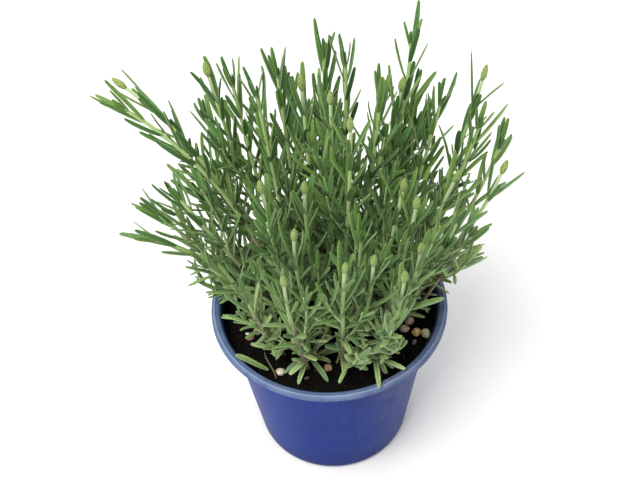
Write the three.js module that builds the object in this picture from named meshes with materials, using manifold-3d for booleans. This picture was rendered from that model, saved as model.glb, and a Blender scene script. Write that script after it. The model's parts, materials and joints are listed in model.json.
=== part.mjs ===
// A young lavender in a blue plastic nursery pot, in millimetres, +Z up.
// The origin is the centre of the pot's base, and -Y is the front of the plant.
// The pot stands on its foot ring and on a small pad in the middle of its base. Potting soil
// fills it to just under the rim, with small pebbles sunk in the surface, and every leafy stem
// stands in a plain hole in the soil, with its leaves and its flower bud grown on it.
import * as THREE from "three";
import { mergeVertices } from "three/addons/utils/BufferGeometryUtils.js";
import Module from "manifold-3d";

const wasm = await Module();
wasm.setup();

// Pot
const potHeight = 102;
const rimRadius = 65;
const rimInnerRadius = 60.5;
const lipDrop = 3.2;
const collarRadius = 59.6;
const collarFoot = 89.5;
const wallTopRadius = 55.6;
const wallTopHeight = 87;
const baseRadius = 44.8;
const baseRounding = 4;
const wallThickness = 1.5;
const baseThickness = 1.8;
const potSides = 28;
const footRingRadius = 34;
const centrePadRadius = 13;
const baseRecess = 2.4;
const drainHoleRadius = 4.2;
const drainHoleCount = 6;
const drainCircleRadius = 23.5;

// Soil
const soilLevel = 90;
const soilMound = 2.2;
const soilBumpHeight = 0.55;
const fitGap = 0.3;

// Stems, leaves and buds
const stemFootRadius = 1.5;
const stemTipRadius = 1;
const stemSides = 4;
const stemSteps = 4;
const buriedLength = 12;
const uprightness = 0.1;
const mostSway = 4;
const firstLeafHeight = 11;
const leafPairSpacing = 26;
const fewestPairs = 3;
const leaderLength = 10;
const budStalkLength = 15;
const leafWidth = 3;
const leafKeel = 1.2;
const leafRootOffset = 0.4;
const leafLineSteps = 3;
const lowerLeaf = { length: 14, rootAngle: 54, tipAngle: 70 };
const upperLeaf = { length: 26, rootAngle: 18, tipAngle: 12 };
const tuftLeaf = { length: 15.5, rootAngle: 16, tipAngle: 12 };
const budLength = 8.5;
const budRadius = 2;
const clearance = 0.35;
const leafSeed = 20417;

// Each stem leans away from the pot's axis in one upright plane. Its azimuth is in degrees from +X,
// its foot and its reach are distances of its foot and tip from that axis, and its rise is the tip's
// height over the soil. Most stems leave the soil leaning and end more upright. A stem with a droop
// does the reverse, and arches outwards.
const stems = [
  // tall stems of the middle
  { azimuth: 47, foot: 2, reach: 7, rise: 145, bud: true },
  { azimuth: -50, foot: 8, reach: 20, rise: 146, bud: true },
  { azimuth: 112, foot: 9, reach: 22, rise: 142, bud: true },
  { azimuth: 28, foot: 12, reach: 32, rise: 141 },
  { azimuth: 153, foot: 12, reach: 33, rise: 145 },
  { azimuth: 71, foot: 14, reach: 40, rise: 143 },
  { azimuth: 119, foot: 18, reach: 41, rise: 140 },
  { azimuth: 86, foot: 17, reach: 46, rise: 142 },
  { azimuth: 34, foot: 19, reach: 47, rise: 134, bud: true },
  { azimuth: 143, foot: 20, reach: 52, rise: 139 },
  // tall stems that lean out
  { azimuth: 45, foot: 26, reach: 64, rise: 148 },
  { azimuth: 146, foot: 27, reach: 64, rise: 141, bud: true, droop: 0.08 },
  { azimuth: 21, foot: 22, reach: 62, rise: 129 },
  { azimuth: 24, foot: 34, reach: 87, rise: 131, bud: true },
  { azimuth: 163, foot: 27, reach: 96, rise: 142, bud: true, droop: 0.3 },
  { azimuth: 168, foot: 21, reach: 95, rise: 136, droop: 0.3 },
  { azimuth: 15, foot: 33, reach: 80, rise: 114 },
  { azimuth: 4, foot: 35, reach: 88, rise: 96, bud: true },
  { azimuth: 12, foot: 40, reach: 90, rise: 102 },
  // stems of the front, shorter the further out they stand
  { azimuth: -112, foot: 13, reach: 24, rise: 116, bud: true },
  { azimuth: -142, foot: 16, reach: 36, rise: 117, bud: true },
  { azimuth: -27, foot: 17, reach: 41, rise: 111, bud: true },
  { azimuth: -4, foot: 16, reach: 63, rise: 102, bud: true },
  { azimuth: -35, foot: 25, reach: 51, rise: 110, bud: true },
  { azimuth: -66, foot: 19, reach: 40, rise: 98 },
  { azimuth: -111, foot: 23, reach: 41, rise: 102, bud: true },
  { azimuth: -66, foot: 29, reach: 52, rise: 92, bud: true },
  { azimuth: -45, foot: 34, reach: 61, rise: 94, bud: true },
  { azimuth: -82, foot: 33, reach: 55, rise: 96, bud: true },
  { azimuth: -57, foot: 41, reach: 64, rise: 87, bud: true },
  { azimuth: -110, foot: 35, reach: 59, rise: 90, bud: true },
  // low stems of the sides
  { azimuth: -173, foot: 19, reach: 70, rise: 103, droop: 0.1 },
  { azimuth: 178, foot: 29, reach: 84, rise: 82, droop: 0.15 },
  { azimuth: -175, foot: 34, reach: 86, rise: 74, droop: 0.32 },
  { azimuth: -155, foot: 28, reach: 64, rise: 74, droop: 0.15 },
  { azimuth: -133, foot: 31, reach: 58, rise: 64 },
  { azimuth: -14, foot: 27, reach: 66, rise: 86 },
  { azimuth: -2, foot: 39, reach: 74, rise: 62, droop: 0.05 },
  { azimuth: 9, foot: 46, reach: 72, rise: 26, droop: 0.3 },
  // stems of the back
  { azimuth: 90, foot: 34, reach: 86, rise: 86 },
  { azimuth: 66, foot: 32, reach: 82, rise: 86 },
  { azimuth: 114, foot: 33, reach: 82, rise: 82 },
  { azimuth: 134, foot: 38, reach: 88, rise: 90 },
  { azimuth: 103, foot: 25, reach: 66, rise: 102 },
  { azimuth: 36, foot: 30, reach: 59, rise: 106 },
  { azimuth: 158, foot: 30, reach: 78, rise: 112 },
];

// Pebbles on the soil: place, mean radius, how flat they are and which way they are turned
const pebbles = [
  { x: 53.6, y: 5.4, radius: 2.3, flat: 0.8, turn: 20, colour: 0xb9a194 },
  { x: 43.6, y: -7.6, radius: 2.8, flat: 0.8, turn: 110, colour: 0xb09a8a },
  { x: 40.6, y: -14, radius: 2.4, flat: 0.75, turn: 10, colour: 0xb8a388 },
  { x: 47, y: -16.6, radius: 2.5, flat: 0.85, turn: 45, colour: 0xc48a55 },
  { x: 52, y: -17.4, radius: 2.6, flat: 0.85, turn: 95, colour: 0xc7ad83 },
  { x: -2.2, y: -38, radius: 2.3, flat: 0.75, turn: 30, colour: 0xc39a76 },
  { x: -40.4, y: -11, radius: 2.1, flat: 0.8, turn: 60, colour: 0xc6bd8f },
  { x: -27.4, y: -38.8, radius: 2.4, flat: 0.65, turn: 5, colour: 0xc7bda9 },
];

const radians = THREE.MathUtils.degToRad;
const lerp = THREE.MathUtils.lerp;
const clampShare = (value) => THREE.MathUtils.clamp(value, 0, 1);

function seededRandom(seed) {
  let state = seed;
  return () => {
    state = (state + 0x6d2b79f5) | 0;
    let mixed = Math.imul(state ^ (state >>> 15), 1 | state);
    mixed = (mixed + Math.imul(mixed ^ (mixed >>> 7), 61 | mixed)) ^ mixed;
    return ((mixed ^ (mixed >>> 14)) >>> 0) / 4294967296;
  };
}

// A closed geometry as a solid: its vertices are merged, and the slivers at its poles dropped.
function solid(geometry) {
  const bare = geometry.index ? geometry.toNonIndexed() : geometry.clone();
  bare.deleteAttribute("normal");
  bare.deleteAttribute("uv");
  const merged = mergeVertices(bare, 1e-4);
  const kept = [];
  for (let i = 0; i < merged.index.count; i += 3) {
    const [a, b, c] = [0, 1, 2].map((k) => merged.index.getX(i + k));
    if (a !== b && b !== c && a !== c) kept.push(a, b, c);
  }
  const made = new wasm.Manifold(
    new wasm.Mesh({
      numProp: 3,
      vertProperties: merged.attributes.position.array,
      triVerts: new Uint32Array(kept),
    }),
  );
  if (made.volume() < 0) throw new Error("a geometry is inside out");
  return made;
}

// A solid as a named mesh.
function meshOf(name, body, material) {
  const made = body.getMesh();
  const geometry = new THREE.BufferGeometry();
  geometry.setAttribute("position", new THREE.BufferAttribute(made.vertProperties, made.numProp));
  geometry.setIndex(new THREE.BufferAttribute(made.triVerts, 1));
  geometry.computeVertexNormals();
  const mesh = new THREE.Mesh(geometry, material);
  mesh.name = name;
  return mesh;
}

// A profile of [radius, height] points turned about +Z.
function turned(profile, sides) {
  const points = profile.map(([radius, height]) => new THREE.Vector2(radius, height));
  return new THREE.LatheGeometry(points, sides).rotateX(Math.PI / 2);
}

// A quarter arc of [radius, height] points round a centre, from one angle to another in degrees.
function arc(centreRadius, centreHeight, size, from, to, steps) {
  const points = [];
  for (let i = 0; i <= steps; i++) {
    const angle = radians(from + ((to - from) * i) / steps);
    points.push([centreRadius + size * Math.cos(angle), centreHeight + size * Math.sin(angle)]);
  }
  return points;
}

function innerRadius(height) {
  if (height >= collarFoot) return collarRadius - wallThickness;
  const share = Math.min(1, (height - baseRounding) / (wallTopHeight - baseRounding));
  return baseRadius + (wallTopRadius - baseRadius) * share - wallThickness;
}

function potSolid() {
  const lip = potHeight - lipDrop;
  const profile = [
    [0, 0],
    [centrePadRadius, 0],
    [centrePadRadius + baseRecess, baseRecess],
    [footRingRadius - baseRecess, baseRecess],
    [footRingRadius, 0],
    ...arc(baseRadius - baseRounding, baseRounding, baseRounding, -90, 0, 2),
    [wallTopRadius, wallTopHeight],
    [collarRadius - 0.5, collarFoot],
    [collarRadius, lip],
    [rimRadius - 0.5, lip],
    [rimRadius, lip + 0.8],
    [rimRadius, potHeight - 0.9],
    [rimRadius - 0.9, potHeight],
    [rimInnerRadius, potHeight],
    [collarRadius - wallThickness, lip - 2],
    [collarRadius - wallThickness, collarFoot],
    [wallTopRadius - wallThickness, wallTopHeight],
    [innerRadius(baseRounding + 2), baseRounding + 2],
    [baseRadius - baseRounding, baseRecess + baseThickness],
    [0, baseRecess + baseThickness],
  ];
  let pot = solid(turned(profile, potSides));
  for (let i = 0; i < drainHoleCount; i++) {
    const angle = (2 * Math.PI * i) / drainHoleCount;
    const drill = new THREE.CylinderGeometry(drainHoleRadius, drainHoleRadius, 20, 6);
    drill.rotateX(Math.PI / 2);
    drill.translate(drainCircleRadius * Math.cos(angle), drainCircleRadius * Math.sin(angle), 0);
    pot = pot.subtract(solid(drill));
  }
  return pot;
}

// Height of the soil at a place: a low mound with crumbs' bumps, level at the pot's wall.
function soilHeight(x, y) {
  const share = Math.min(1, Math.hypot(x, y) / (collarRadius - wallThickness));
  const bumps = Math.sin(0.31 * x + 0.6) * Math.cos(0.27 * y - 0.4) + 0.6 * Math.sin(0.55 * y + 0.21 * x);
  return soilLevel + soilMound * (1 - share * share) + soilBumpHeight * bumps;
}

function soilBlock() {
  const top = soilLevel - 3;
  const profile = [[0, baseRecess + baseThickness + fitGap]];
  profile.push([baseRadius - baseRounding - 1, baseRecess + baseThickness + fitGap]);
  profile.push([wallTopRadius - wallThickness - fitGap, wallTopHeight]);
  profile.push([collarRadius - wallThickness - fitGap, collarFoot]);
  const rings = [1, 0.68, 0.34, 0];
  rings.forEach((share) => profile.push([(collarRadius - wallThickness - fitGap) * share, top + 10]));
  const geometry = turned(profile, potSides);
  const position = geometry.attributes.position;
  for (let i = 0; i < position.count; i++) {
    if (position.getZ(i) > top + 9)
      position.setZ(i, soilHeight(position.getX(i), position.getY(i)));
  }
  return solid(geometry);
}

// A stem's centre line, with a frame at each share of its length: along it, out from the pot's axis
// and across.
function stemLine(stem, sway) {
  const azimuth = radians(stem.azimuth);
  const out = new THREE.Vector3(Math.cos(azimuth), Math.sin(azimuth), 0);
  const across = new THREE.Vector3(-Math.sin(azimuth), Math.cos(azimuth), 0);
  const at = (distance, height, side) =>
    out.clone().multiplyScalar(distance).addScaledVector(across, side).setZ(height);
  const foot = soilLevel - buriedLength;
  const travel = stem.reach - stem.foot;
  const climb = stem.rise + buriedLength;
  const early = uprightness - (stem.droop ?? 0);
  const curve = new THREE.CubicBezierCurve3(
    at(stem.foot, foot, 0),
    at(stem.foot + (0.32 + early) * travel, foot + (0.34 - early / 2) * climb, sway),
    at(stem.foot + (0.7 + early) * travel, foot + (0.72 - early / 2) * climb, -sway),
    at(stem.reach, foot + climb, 0),
  );
  const joints = curve.getSpacedPoints(stemSteps);
  const frame = (share) => {
    const step = Math.min(stemSteps - 1, Math.floor(share * stemSteps));
    const point = joints[step].clone().lerp(joints[step + 1], share * stemSteps - step);
    const along = curve.getTangentAt(share);
    const side = across.clone().addScaledVector(along, -across.dot(along)).normalize();
    return { point, along, side, outward: side.clone().cross(along) };
  };
  return { joints, frame };
}

// A tapering square tube along a stem's line. Its hole in the soil is wider and deeper by the extra.
function stemTube(line, extra) {
  const tube = new THREE.CylinderGeometry(1, 1, 1, stemSides, stemSteps);
  const position = tube.attributes.position;
  for (let i = 0; i < position.count; i++) {
    const share = clampShare(position.getY(i) + 0.5);
    const { point, along, side, outward } = line.frame(share);
    const radius = lerp(stemFootRadius, stemTipRadius, share) + extra;
    if (share === 0) point.addScaledVector(along, -extra);
    point.addScaledVector(side, position.getX(i) * radius);
    point.addScaledVector(outward, position.getZ(i) * radius);
    position.setXYZ(i, point.x, point.y, point.z);
  }
  return solid(tube);
}

// A leaf's middle line leaves the stem at one angle and arches to another, in degrees from the stem.
function leafLine(frame, leaf) {
  const twist = radians(leaf.twist);
  const outward = frame.outward.clone().multiplyScalar(Math.cos(twist));
  outward.addScaledVector(frame.side, Math.sin(twist));
  const points = [frame.point.clone().addScaledVector(outward, leafRootOffset)];
  const directions = [];
  for (let i = 0; i < leafLineSteps; i++) {
    const bend = (i + 0.5) / leafLineSteps;
    const angle = radians(leaf.rootAngle + (leaf.tipAngle - leaf.rootAngle) * bend);
    const direction = frame.along.clone().multiplyScalar(Math.cos(angle));
    direction.addScaledVector(outward, Math.sin(angle));
    directions.push(direction);
    points.push(points[i].clone().addScaledVector(direction, leaf.length / leafLineSteps));
  }
  return { points, directions, across: frame.along.clone().cross(outward).normalize() };
}

// Half widths of a blade at shares of its length: narrow, widest before its middle and blunt at its tip.
const bladeOutline = [
  [0, 0],
  [0.32, 1],
  [1, 0.6],
  [1, 0],
];

// A leaf is a narrow three-sided blade, flat above with a keel below, bent along its middle line.
function leafBlade(line, width) {
  const profile = bladeOutline.map(([share, half]) => new THREE.Vector2(half, share));
  const blade = new THREE.LatheGeometry(profile, 3);
  const position = blade.attributes.position;
  for (let i = 0; i < position.count; i++) {
    const share = position.getY(i) * leafLineSteps;
    const step = Math.min(leafLineSteps - 1, Math.floor(share));
    const direction = line.directions[step];
    const below = line.across.clone().cross(direction);
    const point = line.points[step].clone().lerp(line.points[step + 1], share - step);
    point.addScaledVector(line.across, (position.getX(i) * width) / 2 / Math.sin(Math.PI / 3));
    point.addScaledVector(below, (position.getZ(i) * leafKeel) / 1.5);
    position.setXYZ(i, point.x, point.y, point.z);
  }
  return solid(blade);
}

// Radii of a bud at shares of its length, from its root in the stem to its pointed tip.
const budOutline = [
  [-0.5, 0],
  [0.15, 1],
  [0.6, 0.88],
  [1, 0],
];

// A flower bud is a pointed egg, with its whorls of bracts as low relief.
function budSolid(frame) {
  const profile = budOutline.map(([share, radius]) => new THREE.Vector2(radius, share));
  const bud = new THREE.LatheGeometry(profile, 5);
  const position = bud.attributes.position;
  for (let i = 0; i < position.count; i++) {
    const [x, share, z] = [position.getX(i), position.getY(i), position.getZ(i)];
    const relief = 1 + 0.13 * Math.cos(3 * Math.atan2(z, x) + share * 13);
    const point = frame.point.clone().addScaledVector(frame.along, share * budLength);
    point.addScaledVector(frame.side, x * budRadius * relief);
    point.addScaledVector(frame.outward, z * budRadius * relief);
    position.setXYZ(i, point.x, point.y, point.z);
  }
  return solid(bud);
}

// Leaves of one stem: opposite pairs, each turned a quarter from the one below, longer up the stem and
// held closer to it, then three leaves round its tip. A bud has a bare stalk, with one more pair at the
// foot of that.
function leavesOf(stem, random) {
  const vary = (amount) => (2 * random() - 1) * amount;
  const grow = (share, twist, form, width) => ({
    share,
    twist: twist + vary(14),
    rootAngle: form.rootAngle + vary(6),
    tipAngle: form.tipAngle + vary(14),
    length: form.length * (1 + vary(0.16)),
    width: width * (1 + vary(0.1)),
  });
  const leaves = [];
  const pairs = Math.max(fewestPairs, Math.round((stem.rise - firstLeafHeight) / leafPairSpacing));
  const length = buriedLength + stem.rise;
  const firstShare = (buriedLength + firstLeafHeight) / length;
  const lastShare = 1 - (stem.bud ? budStalkLength : leaderLength) / length;
  const firstTwist = 360 * random();
  for (let k = 0; k < pairs; k++) {
    const up = k / (pairs - 1);
    const form = {
      length: lerp(lowerLeaf.length, upperLeaf.length, Math.min(1, 1.35 * up)),
      rootAngle: lerp(lowerLeaf.rootAngle, upperLeaf.rootAngle, up),
      tipAngle: lerp(lowerLeaf.tipAngle, upperLeaf.tipAngle, up),
    };
    const share = lerp(firstShare, lastShare, up);
    leaves.push(grow(share, firstTwist + 90 * k, form, leafWidth));
    leaves.push(grow(share, firstTwist + 90 * k + 180, form, leafWidth));
  }
  const tuft = stem.bud ? { count: 2, share: lastShare - 2 / length } : { count: 3, share: 0.985 };
  for (let k = 0; k < tuft.count; k++) {
    const twist = firstTwist + 90 * pairs + (360 / tuft.count) * k;
    leaves.push(grow(tuft.share, twist, tuftLeaf, 0.8 * leafWidth));
  }
  return leaves;
}

// Least distance between two line pieces, each given by its two ends.
function pieceDistance(a, b, c, d) {
  const u = b.clone().sub(a);
  const v = d.clone().sub(c);
  const w = a.clone().sub(c);
  const [uu, uv, vv, uw, vw] = [u.dot(u), u.dot(v), v.dot(v), u.dot(w), v.dot(w)];
  const area = uu * vv - uv * uv;
  let s = area > 1e-9 ? clampShare((uv * vw - vv * uw) / area) : 0;
  const t = clampShare((uv * s + vw) / vv);
  s = clampShare((uv * t - uw) / uu);
  return w.addScaledVector(u, s).addScaledVector(v, -t).length();
}

// What has been placed already, as thick line pieces, each with the stem that it belongs to.
const placed = [];
function place(owner, points, halfWidth) {
  for (let i = 0; i + 1 < points.length; i++) {
    placed.push({ owner, from: points[i], to: points[i + 1], halfWidth });
  }
}

function meetsPlaced(owner, from, to, halfWidth) {
  const middle = from.clone().lerp(to, 0.5);
  return placed.some((other) => {
    if (other.owner === owner) return false;
    const gap = halfWidth + other.halfWidth + clearance;
    const farthest = gap + from.distanceTo(to) / 2 + other.from.distanceTo(other.to) / 2;
    if (middle.distanceTo(other.from.clone().lerp(other.to, 0.5)) > farthest) return false;
    return pieceDistance(from, to, other.from, other.to) < gap;
  });
}

// A point with some width round it stays over the soil, and over the rim or well inside it.
function clearOfPot(point, halfWidth) {
  const distance = Math.hypot(point.x, point.y);
  if (distance < collarRadius - wallThickness - halfWidth - 1) {
    return point.z > soilHeight(point.x, point.y) + halfWidth + 0.6;
  }
  return point.z > potHeight + halfWidth + 0.4;
}

function isClear(owner, points, halfWidth) {
  return points.slice(1).every((to, i) => {
    const middle = points[i].clone().lerp(to, 0.5);
    const overPot = [points[i], middle, to].every((point) => clearOfPot(point, halfWidth));
    return overPot && !meetsPlaced(owner, points[i], to, halfWidth);
  });
}

// A leaf that would meet another stem's is turned round its stem, held closer to it or further from
// it, or grows shorter. It is left out where no place is clear.
const turnsTried = [0, 22, -22, 44, -44, 66, -66];
const holdsTried = [1, 0.7, 1.25];
const lengthsTried = [1, 0.75];
const leafTries = lengthsTried.flatMap((length) =>
  holdsTried.flatMap((hold) => turnsTried.map((turn) => ({ length, hold, turn }))),
);
function clearLeafLine(owner, frame, leaf) {
  for (const { length, hold, turn } of leafTries) {
    const line = leafLine(frame, {
      twist: leaf.twist + turn,
      rootAngle: leaf.rootAngle * hold,
      tipAngle: leaf.tipAngle * hold,
      length: leaf.length * length,
    });
    if (isClear(owner, line.points.slice(1), leaf.width / 2)) return line;
  }
  return null;
}

// Stems and buds take their places first, then the leaves from the tips down.
function leafyStems(lines, random) {
  const grown = lines.map((line, i) => {
    place(i, line.joints, stemFootRadius);
    if (!stems[i].bud) return [stemTube(line, 0)];
    const frame = line.frame(1);
    place(i, [frame.point, frame.point.clone().addScaledVector(frame.along, budLength)], budRadius * 1.15);
    return [stemTube(line, 0), budSolid(frame)];
  });
  const leaves = stems.map((stem) => leavesOf(stem, random).reverse());
  const most = Math.max(...leaves.map((list) => list.length));
  for (let k = 0; k < most; k++) {
    leaves.forEach((list, i) => {
      const line = k < list.length && clearLeafLine(i, lines[i].frame(list[k].share), list[k]);
      if (!line) return;
      place(i, line.points.slice(1), list[k].width / 2);
      grown[i].push(leafBlade(line, list[k].width));
    });
  }
  return grown.map((parts) => wasm.Manifold.union(parts));
}

function pebbleCentre({ x, y, radius }) {
  return new THREE.Vector3(x, y, soilHeight(x, y) + 0.3 * radius);
}

// A rounded pebble, or the socket it leaves in the soil when it is made a little larger.
function pebbleSolid(pebble, extra) {
  const { radius, flat, turn } = pebble;
  const ball = new THREE.DodecahedronGeometry(1);
  const position = ball.attributes.position;
  for (let i = 0; i < position.count; i++) {
    const [u, v, w] = [position.getX(i), position.getY(i), position.getZ(i)];
    const bump = 1 + 0.07 * Math.sin(3.1 * u + turn) + 0.06 * Math.cos(2.7 * v - w);
    const size = radius * bump + extra;
    position.setXYZ(i, u * size * 1.08, v * size * 0.94, w * size * flat);
  }
  ball.rotateZ(radians(turn));
  ball.translate(...pebbleCentre(pebble).toArray());
  return solid(ball);
}

function paint(colour, roughness) {
  return new THREE.MeshStandardMaterial({ color: colour, roughness, metalness: 0 });
}

function numbered(name, i) {
  return `${name}_${String(i + 1).padStart(2, "0")}`;
}

const random = seededRandom(leafSeed);
const lines = stems.map((stem) => stemLine(stem, (2 * random() - 1) * mostSway));
const potted = new THREE.Group();
potted.add(meshOf("pot", potSolid(), paint(0x3f5499, 0.42)));

let soil = soilBlock();
lines.forEach((line) => {
  soil = soil.subtract(stemTube(line, fitGap));
});
pebbles.forEach((pebble, i) => {
  const centre = pebbleCentre(pebble);
  place(-1 - i, [centre, centre.clone().setZ(centre.z + 0.1)], pebble.radius * 1.15);
  soil = soil.subtract(pebbleSolid(pebble, fitGap));
  potted.add(meshOf(numbered("pebble", i), pebbleSolid(pebble, 0), paint(pebble.colour, 0.9)));
});
potted.add(meshOf("soil", soil, paint(0x17120e, 0.98)));
leafyStems(lines, random).forEach((body, i) => {
  potted.add(meshOf(numbered("leafy_stem", i), body, paint(0x6f9150, 0.7)));
});

export default potted;
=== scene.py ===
import json
import math
from collections import namedtuple
import bpy
import bmesh
import numpy as np
from mathutils import Euler, Matrix, Vector, noise

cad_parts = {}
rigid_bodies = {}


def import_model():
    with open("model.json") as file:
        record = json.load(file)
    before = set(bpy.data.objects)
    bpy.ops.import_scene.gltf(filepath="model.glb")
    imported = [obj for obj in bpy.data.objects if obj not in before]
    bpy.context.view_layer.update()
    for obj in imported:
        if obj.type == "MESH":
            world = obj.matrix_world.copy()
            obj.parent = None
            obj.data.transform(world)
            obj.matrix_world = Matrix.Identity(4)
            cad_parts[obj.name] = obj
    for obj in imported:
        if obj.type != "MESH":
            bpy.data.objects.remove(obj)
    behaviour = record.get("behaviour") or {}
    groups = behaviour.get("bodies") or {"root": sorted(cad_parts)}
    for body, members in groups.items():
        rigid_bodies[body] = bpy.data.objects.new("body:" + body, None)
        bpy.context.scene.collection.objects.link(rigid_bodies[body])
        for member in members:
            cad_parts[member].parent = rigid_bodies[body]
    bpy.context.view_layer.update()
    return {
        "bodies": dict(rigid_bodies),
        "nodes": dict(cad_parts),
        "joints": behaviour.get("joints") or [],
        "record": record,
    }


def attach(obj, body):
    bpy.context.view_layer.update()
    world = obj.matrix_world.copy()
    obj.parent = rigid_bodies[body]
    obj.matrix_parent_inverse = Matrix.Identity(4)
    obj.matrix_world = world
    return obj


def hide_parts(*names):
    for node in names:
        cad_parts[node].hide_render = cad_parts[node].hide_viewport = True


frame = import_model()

mm = 0.001  # lengths in the dictionaries are millimetres, and angles are degrees
print("frame loaded:", len(frame["nodes"]), "nodes")


# What a wire does with one operator: adds a Math node.
def sums(operation, turned=False):
    def made(wire, *others):
        terms = (*others, wire) if turned else (wire, *others)
        return wire.bench.add("ShaderNodeMath", dict(enumerate(terms)), operation=operation)
    return made


# One socket of a node. Sums are written with it as with a number.
class Wire:
    def __init__(self, bench, socket):
        self.bench, self.socket = bench, socket

    def other(self, name):
        return Wire(self.bench, self.socket.node.outputs[name])

    __add__ = __radd__ = sums("ADD")
    __mul__ = __rmul__ = sums("MULTIPLY")
    __sub__, __rsub__ = sums("SUBTRACT"), sums("SUBTRACT", turned=True)
    __gt__, __lt__ = sums("GREATER_THAN"), sums("LESS_THAN")
    __abs__, sign = sums("ABSOLUTE"), sums("SIGN")


# A node tree, for a finish or for growing, with one way to add any node.
class NodeBench:
    def __init__(self, tree):
        self.tree = tree
        tree.nodes.clear()

    def add(self, kind, sockets=None, output=0, **settings):
        node = self.tree.nodes.new(kind)
        for name, value in settings.items():
            setattr(node, name, value)
        for name, value in (sockets or {}).items():
            for each in value if isinstance(value, list) else [value]:
                if isinstance(each, Wire):
                    self.tree.links.new(each.socket, node.inputs[name])
                else:
                    node.inputs[name].default_value = each
        return Wire(self, node.outputs[output]) if len(node.outputs) else None

    def parts(self, vector):
        first = self.add("ShaderNodeSeparateXYZ", {0: vector})
        return first, first.other("Y"), first.other("Z")


# A display colour out of 255, made linear.
def tone(red, green, blue):
    shares = [value / 255 for value in (red, green, blue)]
    return tuple(((s + 0.055) / 1.055) ** 2.4 if s > 0.04 else s / 12.92 for s in shares) + (1.0,)


# A material's tree, with the few things that every finish here needs. Colours are display colours or wires.
class FinishBench(NodeBench):
    def __init__(self, name):
        self.material = bpy.data.materials.new(name)
        self.material.use_nodes = True
        super().__init__(self.material.node_tree)
        self.place = self.add("ShaderNodeTexCoord").other("Object")

    def grain(self, scale, detail=3, where=None):
        sockets = {"Vector": where or self.place, "Scale": scale, "Detail": detail, "Roughness": 0.55}
        return self.add("ShaderNodeTexNoise", sockets)

    def moved(self, **sockets):
        return self.add("ShaderNodeMapping", {0: self.place, **sockets})

    def ease(self, value, low, high):
        sockets = {"Value": value, "From Min": low, "From Max": high}
        return self.add("ShaderNodeMapRange", sockets, interpolation_type="SMOOTHSTEP")

    def blend(self, share, first, second):
        first, second = (each if isinstance(each, Wire) else tone(*each) for each in (first, second))
        return self.add("ShaderNodeMix", {0: share, 6: first, 7: second}, 2, data_type="RGBA")

    # Lays coats over a colour, one after another, each with its share and its own colour.
    def coats(self, colour, *coats):
        for share, shade in coats:
            colour = self.blend(share, colour, shade)
        return colour

    def attribute(self, name, output="Fac"):
        return self.add("ShaderNodeAttribute", attribute_name=name).other(output)

    def finish(self, colour, roughness, bump, strength, depth, fixed=None):
        dent = self.add("ShaderNodeBump", {"Strength": strength, "Distance": depth, "Height": bump})
        sockets = {"Base Color": colour, "Roughness": roughness, "Normal": dent, **(fixed or {})}
        self.add("ShaderNodeOutputMaterial", {"Surface": self.add("ShaderNodeBsdfPrincipled", sockets)})
        return self.material


# A geometry tree with its own named inputs.
class GrowBench(NodeBench):
    def __init__(self, name, inputs):
        super().__init__(bpy.data.node_groups.new(name, "GeometryNodeTree"))
        sockets = [("Geometry", "OUTPUT", "Geometry"), ("Geometry", "INPUT", "Geometry")]
        for label, way, kind in sockets + [(label, "INPUT", kind) for label, kind in inputs.items()]:
            self.tree.interface.new_socket(label, in_out=way, socket_type="NodeSocket" + kind)
        self.inlet = self.add("NodeGroupInput")

    def named(self, name, kind="FLOAT"):
        return self.add("GeometryNodeInputNamedAttribute", {"Name": name}, data_type=kind)

    def stored(self, geometry, name, value):
        sockets = {"Geometry": geometry, "Name": name, "Value": value}
        return self.add("GeometryNodeStoreNamedAttribute", sockets, data_type="FLOAT", domain="POINT")

    # Joins all parts and makes them real. An attribute counts the finishes: 0 is the first.
    def close(self, parts, mark, finishes):
        done = self.add("GeometryNodeJoinGeometry", {0: parts[::-1]})
        done = self.add("GeometryNodeRealizeInstances", {0: done})
        for i, label in enumerate(finishes):
            sockets = {0: done, "Selection": self.named(mark) > i - 0.5, "Material": self.inlet.other(label)}
            done = self.add("GeometryNodeSetMaterial", sockets)
        self.add("NodeGroupOutput", {0: done})
        return self.tree


def newObject(name, data):
    made = bpy.data.objects.new(name, data)
    bpy.context.scene.collection.objects.link(made)
    return made


def plainMesh(thing):
    return bpy.data.meshes.new_from_object(thing.evaluated_get(bpy.context.evaluated_depsgraph_get()))


# Runs a grower's tree on a mesh, and hands back the plain mesh that it makes.
def grow(mesh, tree, values):
    holder = newObject(mesh.name + "Seed", mesh)
    modifier = holder.modifiers.new("grow", "NODES")
    modifier.node_group = tree
    for item in tree.interface.items_tree:
        if item.name in values:
            modifier[item.identifier] = values[item.name]
    made = plainMesh(holder)
    bpy.data.objects.remove(holder)
    return made


def addPiece(name, mesh, slot, *nodes):
    piece = newObject(name, mesh)
    if nodes:
        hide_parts(*nodes)
    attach(piece, "root")


def smooth(mesh):
    mesh.polygons.foreach_set("use_smooth", [True] * len(mesh.polygons))


def addValues(mesh, name, values, kind="FLOAT"):
    attribute = mesh.attributes.new(name, kind, "POINT")
    field = "vector" if kind == "FLOAT_VECTOR" else "value"
    attribute.data.foreach_set(field, np.asarray(values, np.float32).ravel())


def clamp(value):
    return min(1, max(0, value))


def columns(rows):
    return [np.array(column) for column in zip(*rows)]


def meshFrom(form, name):
    mesh = bpy.data.meshes.new(name)
    form.to_mesh(mesh)
    form.free()
    return mesh


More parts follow.
